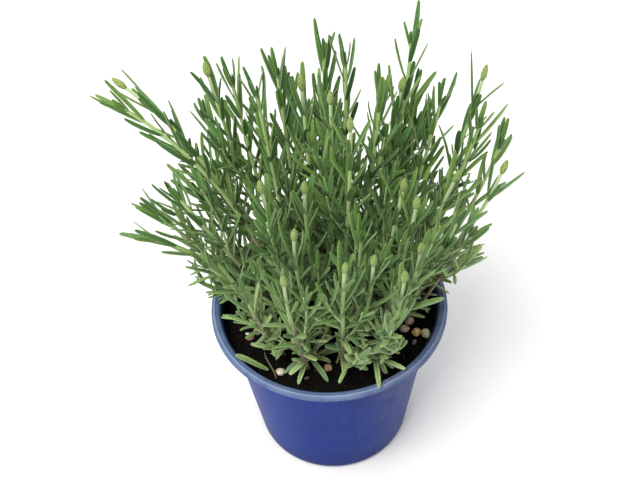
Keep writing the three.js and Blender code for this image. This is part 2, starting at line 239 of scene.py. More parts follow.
# Joins rings of points with faces, and closes them at a pole, which is a ring of one point.
def ringMesh(name, rings, fromTop=False):
    starts, sides = np.cumsum([0] + [len(ring) for ring in rings]).tolist(), max(len(ring) for ring in rings)
    faces = []
    for low, high, lows, highs in zip(starts, starts[1:], rings, rings[1:]):
        for i in range(sides):
            j = (i + 1) % sides
            face = [low + i % len(lows), low + j % len(lows), high + j % len(highs), high + i % len(highs)]
            faces.append(list(dict.fromkeys([face[0], *face[:0:-1]] if fromTop else face)))
    mesh = bpy.data.meshes.new(name)
    mesh.from_pydata([point for ring in rings for point in ring], [], faces)
    return mesh


# Camera, light and floor

camera = {
    "place": (0, -354, 525),
    "pitch": 46.6,  # under the horizon
    "turn": 0.52,
    "roll": -2.98,
    "lens": 56.25,
    "sensor": 36,
}

lights = {  # places and sizes in metres
    "window": {"place": (-0.45, -0.5, 1.4), "size": 0.9, "watts": 28, "colour": (1, 0.985, 0.95)},
    "fill": {"place": (0.9, -0.6, 0.8), "size": 1.0, "watts": 3, "colour": (0.95, 0.98, 1)},
    "back": {"place": (0.1, 0.8, 1.2), "size": 1.2, "watts": 7, "colour": (1, 1, 1)},
}

studio = {
    "lightsAim": (0, 0, 0.12),
    "sky": (1, 1, 1, 1),
    "skyStrength": 0.5,
    "floor": 3,  # half its width, in metres
    "floorTones": ((228, 228, 227), (234, 234, 233)),
}


def addCamera():
    data = bpy.data.cameras.new("camera")
    data.lens, data.sensor_width, data.clip_start = camera["lens"], camera["sensor"], 0.01
    eye = newObject("camera", data)
    eye.location = Vector(camera["place"]) * mm
    aim = Euler((math.radians(90 - camera["pitch"]), 0, math.radians(camera["turn"]))).to_matrix()
    eye.rotation_euler = (aim @ Matrix.Rotation(math.radians(camera["roll"]), 3, "Z")).to_euler()
    bpy.context.scene.camera = eye


def addLights():
    for name, plan in lights.items():
        data = bpy.data.lights.new(name, "AREA")
        data.size, data.energy, data.color = plan["size"], plan["watts"], plan["colour"]
        lamp = newObject(name, data)
        lamp.location = plan["place"]
        lamp.rotation_euler = (lamp.location - Vector(studio["lightsAim"])).to_track_quat("Z", "Y").to_euler()
    world = bpy.data.worlds.new("studio")
    world.use_nodes = True
    sky = world.node_tree.nodes["Background"].inputs
    sky["Color"].default_value, sky["Strength"].default_value = studio["sky"], studio["skyStrength"]
    bpy.context.scene.world = world
    bpy.context.scene.view_settings.view_transform = "Standard"


def addFloor():
    mesh, far = bpy.data.meshes.new("floor"), studio["floor"]
    mesh.from_pydata([(-far, -far, 0), (far, -far, 0), (far, far, 0), (-far, far, 0)], [], [(0, 1, 2, 3)])
    bench = FinishBench("paleFloor")
    dust = bench.grain(14)
    colour = bench.blend(dust, *studio["floorTones"])
    mesh.materials.append(bench.finish(colour, dust * 0.1 + 0.7, dust, 0.05, 0.0002))
    floor = newObject("floor", mesh)


# Pot

pot = {
    "sides": 144,
    "height": 102,
    "rim": 65,
    "rimInside": 60.5,
    "lipDrop": 3.2,
    "collar": 59.6,
    "collarFoot": 89.5,
    "wallTop": (55.6, 87),
    "knee": 8,  # where the wall starts over the rounded base edge
    "base": 44.8,
    "baseRounding": 4,
    "wall": 1.5,
    "floor": 1.8,
    "footRing": 34,
    "pad": 13,
    "recess": 2.4,
    "drainHoles": 6,
    "drainHole": 4.2,
    "drainCircle": 23.5,
    "blues": ((4, 40, 124), (12, 50, 134)),
    # the greys of the rim's painted sky reflection
    "rimReflectionGreys": ((82, 99, 132), (104, 120, 148)),
}


# An outline of (radius, height) corners, with each corner rounded by its own size.
def roundedOutline(corners, steps=4):
    made = []
    for i, (spot, size) in enumerate(corners):
        if not size:
            made.append(spot)
            continue
        corner = Vector(spot)
        back = (Vector(corners[i - 1][0]) - corner).normalized() * size
        ahead = (Vector(corners[i + 1][0]) - corner).normalized() * size
        for step in range(steps + 1):
            share = step / steps
            made.append(tuple(corner + back * (1 - share) ** 2 + ahead * share**2))
    return made


def potOutline():
    top, wall, rim, inner = pot["height"], pot["wall"], pot["rim"], pot["rimInside"]
    base, collar, knee = pot["base"], pot["collar"], pot["knee"]
    lip, inFloor = top - pot["lipDrop"], pot["recess"] + pot["floor"]
    wallRadius, wallHeight = pot["wallTop"]
    lowWall = base + (wallRadius - base) * (knee - pot["baseRounding"]) / (wallHeight - pot["baseRounding"])
    return roundedOutline([
        ((0, 0), 0),
        ((pot["pad"], 0), 0.4),
        ((pot["pad"] + pot["recess"], pot["recess"]), 0.5),
        ((pot["footRing"] - pot["recess"], pot["recess"]), 0.5),
        ((pot["footRing"], 0), 0.4),
        ((base - 0.5, 0), 4.2),
        ((lowWall, knee), 1),
        (pot["wallTop"], 1.2),
        ((collar - 0.5, pot["collarFoot"]), 1),
        ((collar, lip), 0.4),
        ((rim, lip), 0.45),
        ((rim, lip + 1.3), 0.2),
        ((rim - 0.5, lip + 1.6), 0.15),  # groove round the lip
        ((rim - 0.1, lip + 1.9), 0.2),
        ((rim - 0.3, top), 0.9),
        ((inner + 2.4, top), 0.3),
        ((inner + 1.9, top - 0.45), 0.2),  # step inside the lip
        ((inner, top - 0.5), 0.8),
        ((collar - wall, lip - 2), 0.6),
        ((collar - wall, pot["collarFoot"]), 0.8),
        ((wallRadius - wall, wallHeight), 0.8),
        ((lowWall - wall, knee), 1),
        ((base - pot["baseRounding"], inFloor), 1.5),
        ((0, inFloor), 0),
    ])


# Turns the outline about the upright axis, drills the drain holes, and splits the edges that stay crisp.
def potMesh():
    turns = [2 * math.pi * i / pot["sides"] for i in range(pot["sides"])]
    mesh = ringMesh("nurseryPot", [
        [Vector((radius * math.cos(turn), radius * math.sin(turn), height)) * mm
         for turn in (turns if radius > 0.001 else [0])] for radius, height in potOutline()])
    form = bmesh.new()
    for i in range(pot["drainHoles"]):
        turn = 2 * math.pi * i / pot["drainHoles"]
        spot = Vector((math.cos(turn), math.sin(turn), 0)) * pot["drainCircle"] * mm
        size = pot["drainHole"] * mm
        bmesh.ops.create_cone(form, cap_ends=True, segments=32, radius1=size, radius2=size, depth=20 * mm,
                              matrix=Matrix.Translation(spot))
    drill, blank = newObject("drill", meshFrom(form, "drill")), newObject("potBlank", mesh)
    cut = blank.modifiers.new("cut", "BOOLEAN")
    cut.object, cut.operation, cut.solver = drill, "DIFFERENCE", "EXACT"
    blank.modifiers.new("crisp", "EDGE_SPLIT").split_angle = math.radians(40)
    made = plainMesh(blank)
    for thing in (drill, blank):
        bpy.data.objects.remove(thing)
    return made


# How far inside the pot each point is, for the painted shade and the soil's stain on the inner wall.
def insideShares(mesh):
    spots = np.array([vertex.co for vertex in mesh.vertices]) / mm
    radius, height = np.hypot(spots[:, 0], spots[:, 1]), spots[:, 2]
    lip = pot["height"] - pot["lipDrop"]
    heights = [pot["baseRounding"], pot["wallTop"][1], pot["collarFoot"], lip, pot["height"]]
    outer = [pot["base"], pot["wallTop"][0], pot["collar"] - 0.5, pot["collar"], pot["rimInside"] + 1]
    depth = np.interp(height, heights, outer) - radius
    return np.where(height > pot["recess"] + 0.5, np.clip((depth - 0.4) / 0.8, 0, 1), 0)


def potPlastic():
    bench = FinishBench("bluePotPlastic")
    height = bench.parts(bench.place)[2]
    radius = bench.add("ShaderNodeVectorMath", {0: bench.moved(Scale=(1, 1, 0))}, "Value", operation="LENGTH")
    aside = bench.add("ShaderNodeVectorMath", {0: bench.place, 1: (0.86, -0.5, 0)}, "Value",
                      operation="DOT_PRODUCT")
    inside = bench.attribute("potInside")
    cloud, stain, speck = bench.grain(22, 4), bench.grain(150, 5), bench.grain(900, 2)
    streak = bench.grain(1, 4, bench.moved(Scale=(260, 260, 18)))
    crumb = bench.grain(640, 2, bench.moved(Location=(3, 5, 7)))
    # the rim's top, which gets the painted sky reflection
    rimTopMask = bench.ease(height + cloud * 0.001, 0.0996, 0.1008)
    rimReflectionTone = bench.blend(bench.ease(bench.grain(130, 4), 0.3, 0.7), *pot["rimReflectionGreys"])
    # a painted highlight along the outer bead of the lip
    ridgeHighlight = bench.ease(abs(radius - 0.0634), 0.0006, 0.0001) * rimTopMask
    muddy = bench.ease(aside + cloud * 0.012, 0.04, 0.062)
    soiled = bench.ease(stain * 0.01 + 0.0965, height - 0.004, height + 0.004) * inside
    colour = bench.coats(
        bench.blend(bench.ease(cloud, 0.3, 0.7), *pot["blues"]),
        (bench.ease(streak, 0.5, 0.75) * 0.08, (80, 96, 160)),
        (bench.ease(height, 0.03, 0) * 0.4, (24, 36, 92)),
        # a painted reflection of the sky makes the rim's top a lighter grey blue
        (rimTopMask * 0.95, rimReflectionTone),
        # painted shade on the rim's inner slope
        (bench.ease(radius, 0.0632, 0.061) * rimTopMask * 0.6, (66, 82, 112)),
        # painted highlight on the lip
        (ridgeHighlight * 0.5, (158, 172, 206)),
        # painted shade darkens one side, mud has splashed and dried on that side, and pale dust and dark
        # crumbs lie all over
        # painted shade on the side away from the light
        (bench.ease(aside, -0.01, 0.05) * (1 - rimTopMask) * 0.3, (30, 38, 76)),
        (muddy * bench.ease(stain, 0.3, 0.7) * 0.35, (98, 100, 120)),
        (bench.ease(speck, 0.67, 0.73) * (muddy * 0.5 + 0.3), (156, 164, 190)),
        (bench.ease(crumb, 0.7, 0.74) * 0.7, (24, 26, 50)),
        # painted shade darkens the inner wall, and soil clings to it
        (inside * (1 - rimTopMask) * 0.6, (20, 28, 56)),
        (soiled * 0.93, (18, 18, 24)))
    roughness = cloud * 0.12 + rimTopMask * 0.12 + soiled * 0.3 + 0.34
    return bench.finish(colour, roughness, speck + streak * 2, 0.12, 0.0002, {"Specular IOR Level": 0.05})


def makePot():
    mesh = potMesh()
    mesh.materials.clear()
    mesh.materials.append(potPlastic())
    smooth(mesh)
    addValues(mesh, "potInside", insideShares(mesh))
    addPiece("nurseryPot", mesh, "pot", "pot")
    print("pot turned:", len(mesh.polygons), "faces")


# Soil, with its crumbs, grit and scraps

soil = {
    "level": 90,
    "mound": 2.2,
    "bumps": 0.55,
    "across": 58.1,  # radius of the pot's inside at this height
    "gap": 0.3,
    "edge": 89,  # height of its edge at the wall
    "floor": 4.6,
    "rings": 64,
    "spokes": 160,
    "clods": 1.2,
    "crumbs": 2600,
    "crumbSizes": (0.25, 1.0),
    "grit": 50,
    "gritSizes": (0.25, 0.6),
    "gritTone": (150, 138, 122),
    "peats": ((5, 5, 5), (16, 14, 12)),
}

# bits that lie on the soil: x, y, radius, flatness, turn and tone
scraps = [
    (-43.9, -15.6, 1.9, 0.35, 30, (120, 92, 74)),
    (-45.6, -12.7, 1.0, 0.8, 0, (205, 203, 196)),
    (28, -41.7, 1.8, 0.4, 140, (112, 84, 62)),
    (45.1, -23.3, 1.5, 0.6, 65, (104, 100, 104)),
    (-36.5, -20.5, 2.2, 0.3, 100, (92, 70, 58)),
    (-13.5, -43.5, 1.3, 0.5, 15, (86, 70, 62)),
    (-9, 0.5, 2.6, 0.3, 70, (96, 74, 44)),
    (-14, -2, 2.0, 0.4, 150, (110, 92, 72)),
]


def soilHeight(x, y):
    share = np.minimum(1, np.hypot(x, y) / soil["across"])
    bumps = np.sin(0.31 * x + 0.6) * np.cos(0.27 * y - 0.4) + 0.6 * np.sin(0.55 * y + 0.21 * x)
    return soil["level"] + soil["mound"] * (1 - share * share) + soil["bumps"] * bumps


# The soil's surface in fine rings, rough with clods, closed below by the shape of the pot's inside.
def soilMesh():
    spokes, rings, edge = soil["spokes"], soil["rings"], soil["across"] - soil["gap"]
    turns = 2 * np.pi * np.arange(spokes) / spokes
    made = [[(0.0, 0.0, float(soilHeight(0, 0)))]]
    for ring in range(1, rings + 1):
        radius = edge * ring / rings
        fade = min(1, (edge - radius) / 3)
        made.append([])
        for turn in turns:
            x, y = radius * math.cos(turn), radius * math.sin(turn)
            clods = noise.turbulence(Vector((x, y, 3)) * 0.17, 4, False) - 0.45
            clods += 0.5 * noise.noise(Vector((x, y, 9)) * 0.7)
            made[-1].append((x, y, float(soilHeight(x, y)) + fade * soil["clods"] * clods))
    for radius, height in ((edge, soil["edge"]), (edge - 3.9, soil["edge"] - 2.4), (pot["base"] - 2.5, 10),
                           (pot["base"] - pot["baseRounding"] - 1, soil["floor"])):
        made.append([(radius * math.cos(turn), radius * math.sin(turn), height) for turn in turns])
    made.append([(0.0, 0.0, soil["floor"])])
    mesh = ringMesh("pottingSoil", [(np.array(ring) * mm).tolist() for ring in made], fromTop=True)
    room = [1.0 if z > 87 and math.hypot(x, y) < edge - 2 else 0.0 for ring in made for x, y, z in ring]
    addValues(mesh, "crumbRoom", room)
    smooth(mesh)
    return mesh


# Strews crumbs and grit over the open surface.
def crumbGrower():
    bench = GrowBench("strewCrumbs", {
        "Crumbs": "Float", "Crumbs least": "Float", "Crumbs most": "Float",
        "Grit": "Float", "Grit least": "Float", "Grit most": "Float",
        "Soil finish": "Material", "Grit finish": "Material"})
    room = bench.named("crumbRoom")
    strewn = [bench.inlet]
    for mark, (label, seed) in enumerate((("Crumbs", 11), ("Grit", 12))):
        density, least, most = (bench.inlet.other(label + end) for end in ("", " least", " most"))
        spots = bench.add("GeometryNodeDistributePointsOnFaces",
                          {"Mesh": bench.inlet, "Selection": room > 0.5, "Density": density, "Seed": seed})
        turn = bench.add("FunctionNodeRandomValue", {0: (0, 0, 0), 1: (6.28, 6.28, 6.28), "Seed": seed + 10},
                         data_type="FLOAT_VECTOR")
        size = bench.add("FunctionNodeRandomValue", {0: least, 1: most, "Seed": seed + 20},
                         data_type="FLOAT_VECTOR")
        crumb = bench.add("GeometryNodeMeshIcoSphere", {"Radius": 1.0, "Subdivisions": 1})
        marked = bench.stored(crumb, "gritMark", float(mark))
        strewn.append(bench.add("GeometryNodeInstanceOnPoints",
                                {"Points": spots, "Instance": marked, "Rotation": turn, "Scale": size}))
    return bench.close(strewn, "gritMark", ("Soil finish", "Grit finish"))


def peatFinish():
    bench = FinishBench("darkPeat")
    fine, coarse = bench.grain(900, 4), bench.grain(170, 5)
    fibre = bench.grain(1, 3, bench.moved(Scale=(1400, 260, 700), Rotation=(0.2, 0.5, 0.8)))
    colour = bench.coats(
        bench.blend(bench.ease(fine, 0.35, 0.75), *soil["peats"]),
        (bench.ease(coarse, 0.5, 0.78) * 0.6, (26, 21, 17)),
        (bench.ease(fibre, 0.66, 0.76) * 0.5, (58, 46, 35)),
        (bench.ease(bench.grain(1300, 2), 0.67, 0.73) * 0.55, (92, 88, 62)))
    bump = fine + coarse * 2
    return bench.finish(colour, fine * 0.2 + 0.78, bump, 0.7, 0.0006, {"Specular IOR Level": 0.1})


def stoneFinish(name, shade):
    bench = FinishBench(name)
    vein, speck = bench.grain(420, 4), bench.grain(1500, 3)
    deep, pale = [value * 0.72 for value in shade], [min(255, value * 1.12 + 8) for value in shade]
    colour = bench.coats(deep, (bench.ease(vein, 0.32, 0.68), pale),
                         (bench.ease(speck, 0.62, 0.72) * 0.5, (70, 52, 42)))
    return bench.finish(colour, vein * 0.2 + 0.55, vein + speck * 0.4, 0.5, 0.0004)


# A rounded stone with dents, from a table's row: a ball, stretched, and lifted by a share of its radius.
def stoneMesh(name, row, stretch, lift, seed, detail):
    x, y, radius, flat, turn, shade = row
    sizes = (radius * stretch[0], radius * stretch[1], radius * flat)
    form = bmesh.new()
    bmesh.ops.create_icosphere(form, subdivisions=detail, radius=1)
    for vertex in form.verts:
        bump = 1 + 0.16 * noise.noise(vertex.co * 1.3 + Vector((seed, 0, 0)))
        bump += 0.05 * noise.noise(vertex.co * 4 + Vector((0, seed, 0)))
        vertex.co = Vector([along * size for along, size in zip(vertex.co, sizes)]) * bump
    turned = Matrix.Rotation(math.radians(turn), 3, "Z")
    bmesh.ops.rotate(form, cent=(0, 0, 0), matrix=turned, verts=form.verts)
    bmesh.ops.translate(form, vec=(x, y, float(soilHeight(x, y)) + lift * radius), verts=form.verts)
    bmesh.ops.scale(form, vec=(mm, mm, mm), verts=form.verts)
    mesh = meshFrom(form, name)
    smooth(mesh)
    mesh.materials.append(stoneFinish(name, shade))
    return mesh


def joinMeshes(mesh, others):
    form = bmesh.new()
    form.from_mesh(mesh)
    for other in others:
        mesh.materials.append(other.materials[0])
        start = len(form.faces)
        form.from_mesh(other)
        form.faces.ensure_lookup_table()
        for face in form.faces[start:]:
            face.material_index = len(mesh.materials) - 1
    form.to_mesh(mesh)
    form.free()


def makeSoil():
    area = math.pi * (soil["across"] * mm) ** 2
    values = {"Soil finish": peatFinish(), "Grit finish": stoneFinish("paleGrit", soil["gritTone"])}
    for label, key, sizes in (("Crumbs", "crumbs", "crumbSizes"), ("Grit", "grit", "gritSizes")):
        least, most = soil[sizes]
        values.update({label: soil[key] / area, label + " least": least * mm, label + " most": most * mm})
    mesh = grow(soilMesh(), crumbGrower(), values)
    joinMeshes(mesh, [stoneMesh("scrapTone", row, (1.25, 0.8), 0.5 * row[3], i + 20, 3)
                      for i, row in enumerate(scraps)])
    addPiece("pottingSoil", mesh, "soil", "soil")
    print("soil filled:", len(mesh.polygons), "faces")


# Pebbles: x, y, radius, flatness, turn and tone

pebbles = [
    (53.6, 5.4, 2.3, 0.8, 20, (218, 190, 176)),
    (43.6, -7.6, 2.8, 0.8, 110, (212, 188, 170)),
    (40.6, -14, 2.4, 0.75, 10, (218, 194, 164)),
    (47, -16.6, 2.5, 0.85, 45, (246, 184, 126)),
    (52, -17.4, 2.6, 0.85, 95, (252, 230, 192)),
    (-2.2, -38, 2.3, 0.75, 30, (195, 154, 118)),
    (-40.4, -11, 2.1, 0.8, 60, (214, 204, 156)),
    (-27.4, -38.8, 2.4, 0.65, 5, (199, 189, 169)),
]
pebbleLift, pebbleRoom = 0.3, 1.15  # shares of the radius


def makePebbles():
    for i, row in enumerate(pebbles):
        mesh = stoneMesh(f"pebbleTone{i + 1:02d}", row, (1.08, 0.94), pebbleLift, i, 4)
        addPiece(f"gritPebble{i + 1:02d}", mesh, "pebble", f"pebble_{i + 1:02d}")
    print("pebbles laid:", len(pebbles))


# Stems

# Every stem leans away from the pot's axis: azimuth, distance of its foot and of its tip from the axis,
# height over the soil, bud or not, and how far it droops.
stemRows = [
    (47, 2, 7, 145, True, 0), (-50, 8, 20, 146, True, 0), (112, 9, 22, 142, True, 0),
    (28, 12, 32, 141, False, 0), (153, 12, 33, 145, False, 0), (71, 14, 40, 143, False, 0),
    (119, 18, 41, 140, False, 0), (86, 17, 46, 142, False, 0), (34, 19, 47, 134, True, 0),
    (143, 20, 52, 139, False, 0), (45, 26, 64, 148, False, 0), (146, 27, 64, 141, True, 0.08),
    (21, 22, 62, 129, False, 0), (24, 34, 87, 131, True, 0), (163, 27, 96, 142, True, 0.3),
    (168, 21, 95, 136, False, 0.3), (15, 33, 80, 114, False, 0), (4, 35, 88, 96, True, 0),
    (12, 40, 90, 102, False, 0),
    # the front
    (-112, 13, 24, 116, True, 0), (-142, 16, 36, 117, True, 0), (-27, 17, 41, 111, True, 0),
    (-4, 16, 63, 102, True, 0), (-35, 25, 51, 110, True, 0), (-66, 19, 40, 98, False, 0),
    (-111, 23, 41, 102, True, 0), (-66, 29, 52, 92, True, 0), (-45, 34, 61, 94, True, 0),
    (-82, 33, 55, 96, True, 0), (-57, 41, 64, 87, True, 0), (-110, 35, 59, 90, True, 0),
    # low at the sides
    (-173, 19, 70, 103, False, 0.1), (178, 29, 84, 82, False, 0.15), (-175, 34, 86, 74, False, 0.32),
    (-155, 28, 64, 74, False, 0.15), (-133, 31, 58, 64, False, 0), (-14, 27, 66, 86, False, 0),
    (-2, 39, 74, 62, False, 0.05), (9, 46, 72, 26, False, 0.3),
    # the back
    (90, 34, 86, 86, False, 0), (66, 32, 82, 86, False, 0), (114, 33, 82, 82, False, 0),
    (134, 38, 88, 90, False, 0), (103, 25, 66, 102, False, 0), (36, 30, 59, 106, False, 0),
    (158, 30, 78, 112, False, 0),
]

stemPlan = {
    "buried": 12,
    "uprightness": 0.1,
    "bends": ((0.32, 0.34), (0.7, 0.72)),  # shares of the reach and of the height, where the curve is led
    "mostSway": 4,
    "joints": 4,
    "footRadius": 1.3,
    "tipRadius": 0.95,
    "knots": 0.14,  # how far a stem swells at a pair of leaves
    "woodTop": (40, 30),  # the wood ends this far up, and up to that much further
    "room": 1.5,
    "fineRoom": 1.1,
    "firstLeaf": 11,
    "pairSpacing": 26,
    "fewestPairs": 3,
    "leader": 10,
    "budStalk": 15,
    "seed": 20417,
}

leafPlan = {
    "width": 3,
    "rootOffset": 0.4,
    "lower": (14, 54, 70),  # length, and its angle from the stem at its root and at its tip
    "upper": (26, 18, 12),
    "tuft": (15.5, 16, 12),
    "swerve": 0.07,  # sideways, as a share of the length
    "roll": 22,
    "curl": (-0.02, 0.05),
    "clearance": 0.35,
    "offWall": 1,
    "offSoil": 0.6,
    "offRim": 0.4,
    "outline": [(0, 0.44), (0.1, 0.7), (0.28, 0.95), (0.55, 1), (0.8, 0.9), (0.94, 0.62), (1, 0.2)],
}

budPlan = {
    "length": 8.5,
    "room": 2.3,
    "outline": [(-0.05, 0.6), (0.05, 1.0), (0.18, 1.45), (0.36, 1.66), (0.55, 1.55), (0.74, 1.15), (0.9, 0.6),
                (1, 0.12)],
    "whorls": 6,
    "whorlRise": 0.135,
    "bracts": 4,
    # a bract's points: share up the bud, distance out of its side, and share of its girth
    "bract": [(0, -0.05, 0.55), (0.1, 0.1, 0.82), (0.2, 0.16, 0.8), (0.28, 0.2, 0.5), (0.34, 0.28, 0.12)],
}

sidePlan = {
    "seed": 88,
    "crown": [(100, 60), (120, 64), (150, 78), (180, 90), (210, 98), (240, 104)],  # height, and its widest
    "crownDepth": 1.06,  # how much narrower the crown is to the front
    "front": -68,  # none reaches further out to the front
    "clearance": 0.08,
    "between": 2,  # pairs added between two of the main pairs
    "pairLength": (0.68, 1.0),
    "pairWidth": (0.8, 1.02),
    # open air, as thick lines: ends and radius. The soil shows below some, and others part the stems
    "openings": [
        ((42, -19, 92), (39, -40, 120), 7), ((50, -12, 92), (46, -34, 120), 7),
        ((54, -22, 92), (50, -44, 120), 7), ((43, -32, 92), (40, -52, 120), 5),
        ((59, -4, 92), (56, -26, 120), 5), ((34, -42, 92), (32, -60, 120), 6),
        ((-56, -2, 92), (-53, -24, 120), 7), ((-51, -12, 92), (-48, -34, 120), 7),
        ((-45, -22, 92), (-42, -43, 120), 6), ((-33, -39, 92), (-31, -58, 120), 5),
        ((-11, -49, 92), (-10, -67, 120), 4), ((91, 39, 130), (78, -21, 190), 8),
        ((76, 26, 130), (64, -32, 190), 5), ((63, -27, 130), (53, -77, 190), 6),
        ((76, 105, 150), (58, -5, 240), 7), ((-34, 118, 150), (-26, 4, 240), 7),
        ((-5, 143, 150), (-4, 24, 240), 6), ((19, 86, 150), (15, -19, 240), 4),
        ((-9, -1, 92), (-9, -24, 120), 6), ((63, 9, 106), (61, -8, 125), 3.5),
        ((54, 5, 96), (47, -41, 150), 4), ((44, -8, 96), (38, -53, 150), 4),
        ((41, -14, 96), (35, -58, 150), 4), ((47, -17, 96), (41, -60, 150), 4),
        ((52, -17, 96), (45, -61, 150), 4), ((-2, -38, 96), (-2, -79, 150), 4),
    ],
}

# Tufts of small leaves in the axils of a pair.
tuft = {
    "chance": 0.6,
    "top": 0.8,  # none above this share of the pairs
    "size": (10, 2.5),
    "leans": (-28, 28),
    "leafChance": 0.8,
    "rootAngle": (14, 34),
    "tipAngle": (22, 50),
    "length": (0.7, 1.15),
    "width": (1.7, 2.3),
}

# Leafy side growth. Its start is a share of the stem's height, or millimetres over the soil. A leaf's angles
# are at its root and its tip, each with how far it falls along the shoot.
branch = {
    "perStem": 2,
    "tallerThan": 80,
    "start": (0.3, 0.62),
    "startIsShare": True,
    "length": (30, 52),
    "rootAngle": (24, 36),
    "tipAngle": (0, 10),
    "spacing": 8.5,
    "leaf": (15, 22),
    "leafAngles": ((38, 22), (36, 26)),
}

shoot = {
    "perStem": 3,
    "tallerThan": 0,
    "start": (5, 30),
    "startIsShare": False,
    "length": (17, 38),
    "rootAngle": (38, 60),
    "tipAngle": (-6, 26),
    "spacing": 5.4,
    "leaf": (11, 17),
    "leafAngles": ((52, 26), (66, 44)),
}

twig = {  # what branches and shoots share
    "room": 1.7,
    "radius": (0.78, 0.36),  # at its root, and what it loses to its tip
    "woodTop": 40,
    "leafLength": (0.85, 1.1),
    "leafWidth": (1.9, 2.6),
}

# Leaves at the feet of the front stems reach out over the soil, and one over the rim: stem, root and tip.
footLeaves = [
    (30, (22.6, -36, 97.5), (23.4, -61.5, 104.6)), (30, (23.5, -35.5, 97), (28, -47, 96.5)),
    (30, (24, -35, 97), (32, -43, 95.5)), (30, (24, -34.4, 98.5), (43.5, -33, 100.5)),
    (30, (24.2, -33.8, 100.5), (45.6, -29.5, 103.5)), (31, (-11, -34.5, 97.5), (-1, -38.5, 95.2)),
    (31, (-13, -34, 97), (-25, -42.4, 94.6)), (31, (-12.6, -35, 96.5), (-18, -50.5, 95.5)),
    (31, (-11.2, -35.2, 96), (-2.5, -49, 94.6)), (29, (4.4, -34, 101), (-5, -34.5, 96.5)),
    (29, (5.6, -34.8, 99), (13.5, -39.5, 96)), (36, (-22, -24.5, 98), (-29.5, -34.5, 96.5)),
]
footLeafHalf, footLeafRoom, footLeafArch = 1.4, 1.1, 0.48

# How leaves vary: grey green at the foot, darkened with painted shade deep in the crown, and some dry.
moods = {
    "greyAtFoot": 1.15,
    "greyFades": 75,
    "uneven": 0.15,
    "shade": (2.3, 0.5),
    "shadeTop": (115, 70),
    "dryPatch": (42, 20),  # near the axis and low down, four times as many are dry
    "dryMain": (0.05, 106),  # chance, and the height under which it holds
    "dryPairs": (0.1, 106),
    "dryShoots": (0.2, 104),
    "dryNever": (0, 0),
}

# a leaf's length, how it is held, and its turn, one try after another
leafTries = [(length, hold, turn) for length in (1, 0.75) for hold in (1, 0.7, 1.25)
             for turn in (0, 22, -22, 44, -44, 66, -66)]
quickTries = [(1, 1, 0), (1, 1, 24), (1, 1, -24), (1, 0.7, 0), (0.8, 1.2, 12), (0.8, 1, -48), (0.7, 0.6, 48)]
shootTries = [(length, hold, turn) for length in (1, 0.75) for turn in (0, 60, -60, 120, -120, 180)
              for hold in (1, 0.75)]
footTurns = (0, 8, -8, 16, -16, 24, -24)

Leaf = namedtuple("Leaf", "twist rootAngle tipAngle length width share", defaults=(0,))


# The same rolls of the dice, whatever runs them.
class Dice:
    def __init__(self, seed):
        self.state = seed

    def roll(self):
        whole = 0xFFFFFFFF
        self.state = (self.state + 0x6D2B79F5) & whole
        mixed = ((self.state ^ (self.state >> 15)) * (1 | self.state)) & whole
        mixed = ((mixed + (((mixed ^ (mixed >> 7)) * (61 | mixed)) & whole)) ^ mixed) & whole
        return (mixed ^ (mixed >> 14)) / 4294967296

    def spread(self, amount):
        return (2 * self.roll() - 1) * amount

    def between(self, low, high):
        return low + (high - low) * self.roll()


def unit(vector):
    return vector / np.linalg.norm(vector)


# A stem's curve. Its frames are (point, along, side, outward).
class StemLine:
    def __init__(self, row, sway):
        azimuth, foot, reach, rise, self.bud, droop = row
        lean = math.radians(azimuth)
        out = np.array((math.cos(lean), math.sin(lean), 0))
        self.across = np.array((-math.sin(lean), math.cos(lean), 0))
        self.rise, self.nominal = rise, rise + stemPlan["buried"]
        ground, travel = soil["level"] - stemPlan["buried"], reach - foot
        early = stemPlan["uprightness"] - droop
        bends = [(far + early, up - early / 2) for far, up in stemPlan["bends"]]
        self.corners = [
            out * (foot + far * travel) + self.across * side + np.array((0, 0, ground + up * self.nominal))
            for (far, up), side in zip([(0, 0), *bends, (1, 1)], (0, sway, -sway, 0))]
        self.times = np.linspace(0, 1, 201)
        walked = np.array([self.at(time) for time in self.times])
        self.lengths = np.concatenate(([0], np.cumsum(np.linalg.norm(np.diff(walked, axis=0), axis=1))))
        self.joints = [self.at(self.timeOf(i / stemPlan["joints"])) for i in range(stemPlan["joints"] + 1)]

    def at(self, time):
        a, b, c, d = self.corners
        rest = 1 - time
        return rest**3 * a + 3 * rest * rest * time * b + 3 * rest * time * time * c + time**3 * d

    def timeOf(self, share):
        return float(np.interp(share * self.lengths[-1], self.lengths, self.times))

    # On the smooth curve, or on the straight lines between its joints.
    def frame(self, share, straight=False):
        time = self.timeOf(share)
        point = self.at(time)
        if straight:
            step = min(stemPlan["joints"] - 1, int(share * stemPlan["joints"]))
            rest = share * stemPlan["joints"] - step
            point = self.joints[step] * (1 - rest) + self.joints[step + 1] * rest
        along = unit(self.at(min(1, time + 0.0001)) - self.at(max(0, time - 0.0001)))
        side = unit(self.across - along * (self.across @ along))
        return point, along, side, np.cross(side, along)


# Leaves and the room that they need

# The middle line of a leaf or a shoot, and the direction across it.
def bladeLine(frame, leaf, steps):
    point, along, side, outward = frame
    twist = math.radians(leaf.twist)
    away = outward * math.cos(twist) + side * math.sin(twist)
    bends = (np.arange(steps) + 0.5) / steps
    angles = np.radians(leaf.rootAngle + (leaf.tipAngle - leaf.rootAngle) * bends)
    directions = np.cos(angles)[:, None] * along + np.sin(angles)[:, None] * away
    root = point + leafPlan["rootOffset"] * away
    points = np.vstack([root, root + np.cumsum(directions * leaf.length / steps, axis=0)])
    return points, unit(np.cross(along, away))


